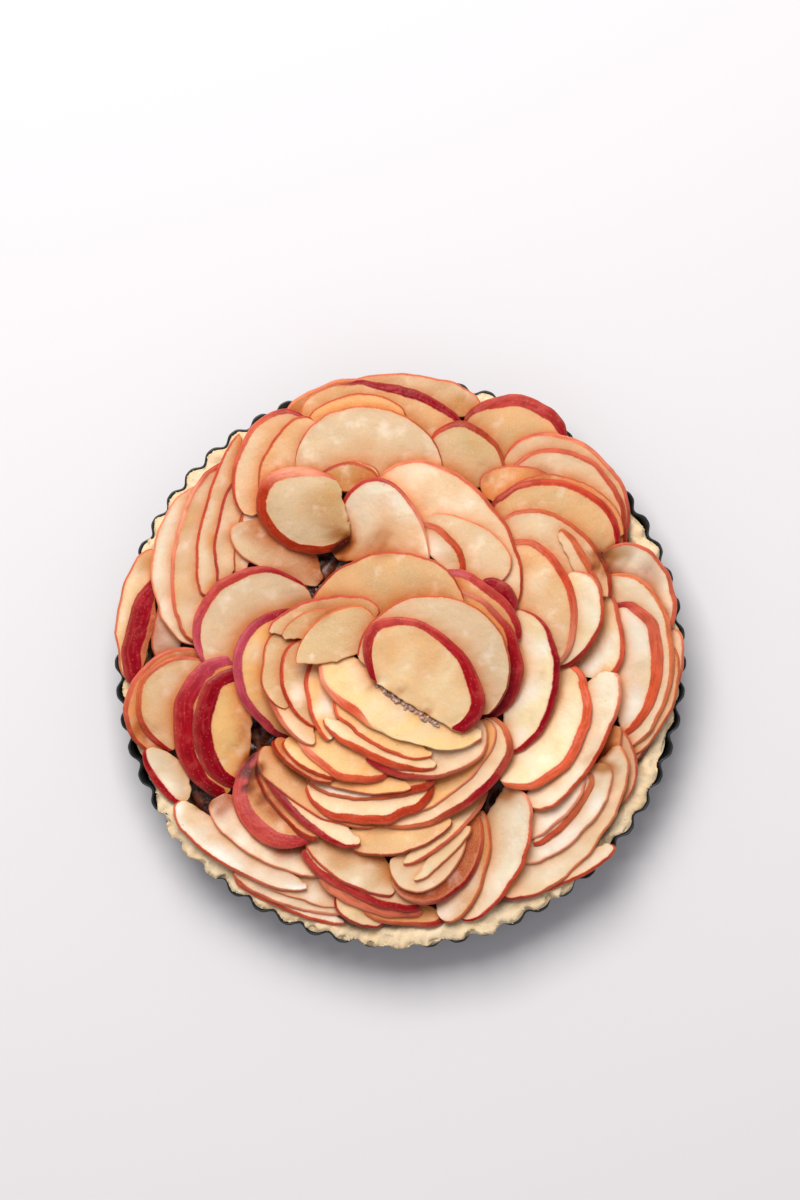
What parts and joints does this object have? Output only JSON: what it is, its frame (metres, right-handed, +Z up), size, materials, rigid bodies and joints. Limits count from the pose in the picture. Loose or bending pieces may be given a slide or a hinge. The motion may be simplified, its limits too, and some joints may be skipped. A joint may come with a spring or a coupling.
{
  "type": "apple tart",
  "caption": "Round apple tart in its own fluted tin: shortcrust case, dark sticky filling, and thin red-skinned apple slices laid as a rose in a low mound",
  "frame": {"origin": "centre of the tin's underside, which is also the centre of the slice rose seen from above", "axes": "+Z up out of the tart, +Y towards the upper side of the rose as seen from above, +X to its right"},
  "size_m": [0.25, 0.252, 0.0653],
  "materials": {
    "tin": "dark non-stick coated steel",
    "pastry": "pale shortcrust, dry and crumbly",
    "filling": "dark sticky fruit filling",
    "apple": "moist apple flesh with a red skin edge"
  },
  "bodies": {
    "root": {"filling": "filling", "pastry_case": "pastry", "slice_centre_disc": "apple", "slice_centre_north": "apple", "slice_centre_ring_1": "apple", "slice_centre_ring_2": "apple", "slice_centre_west": "apple", "slice_east_1": "apple", "slice_east_2": "apple", "slice_east_3": "apple", "slice_east_4": "apple", "slice_east_rim_1": "apple", "slice_east_rim_2": "apple", "slice_north_1": "apple", "slice_north_2": "apple", "slice_north_3": "apple", "slice_north_4": "apple", "slice_north_disc": "apple", "slice_north_rim_1": "apple", "slice_north_rim_2": "apple", "slice_northeast_1": "apple", "slice_northeast_2": "apple", "slice_northeast_3": "apple", "slice_northeast_4": "apple", "slice_northeast_5": "apple", "slice_northeast_6": "apple", "slice_northwest_1": "apple", "slice_northwest_2": "apple", "slice_northwest_3": "apple", "slice_northwest_4": "apple", "slice_northwest_5": "apple", "slice_rose_1": "apple", "slice_rose_2": "apple", "slice_rose_3": "apple", "slice_rose_4": "apple", "slice_rose_5": "apple", "slice_rose_west": "apple", "slice_south_1": "apple", "slice_south_2": "apple", "slice_south_3": "apple", "slice_south_4": "apple", "slice_south_rim_1": "apple", "slice_south_rim_2": "apple", "slice_southeast_1": "apple", "slice_southeast_2": "apple", "slice_southeast_3": "apple", "slice_southeast_4": "apple", "slice_southeast_5": "apple", "slice_southwest_1": "apple", "slice_southwest_2": "apple", "slice_southwest_3": "apple", "slice_west_1": "apple", "slice_west_2": "apple", "slice_west_3": "apple", "slice_west_4": "apple", "slice_west_5": "apple", "slice_west_rim_1": "apple", "slice_west_rim_2": "apple", "tart_tin": "tin"}
  },
  "joints": []
}
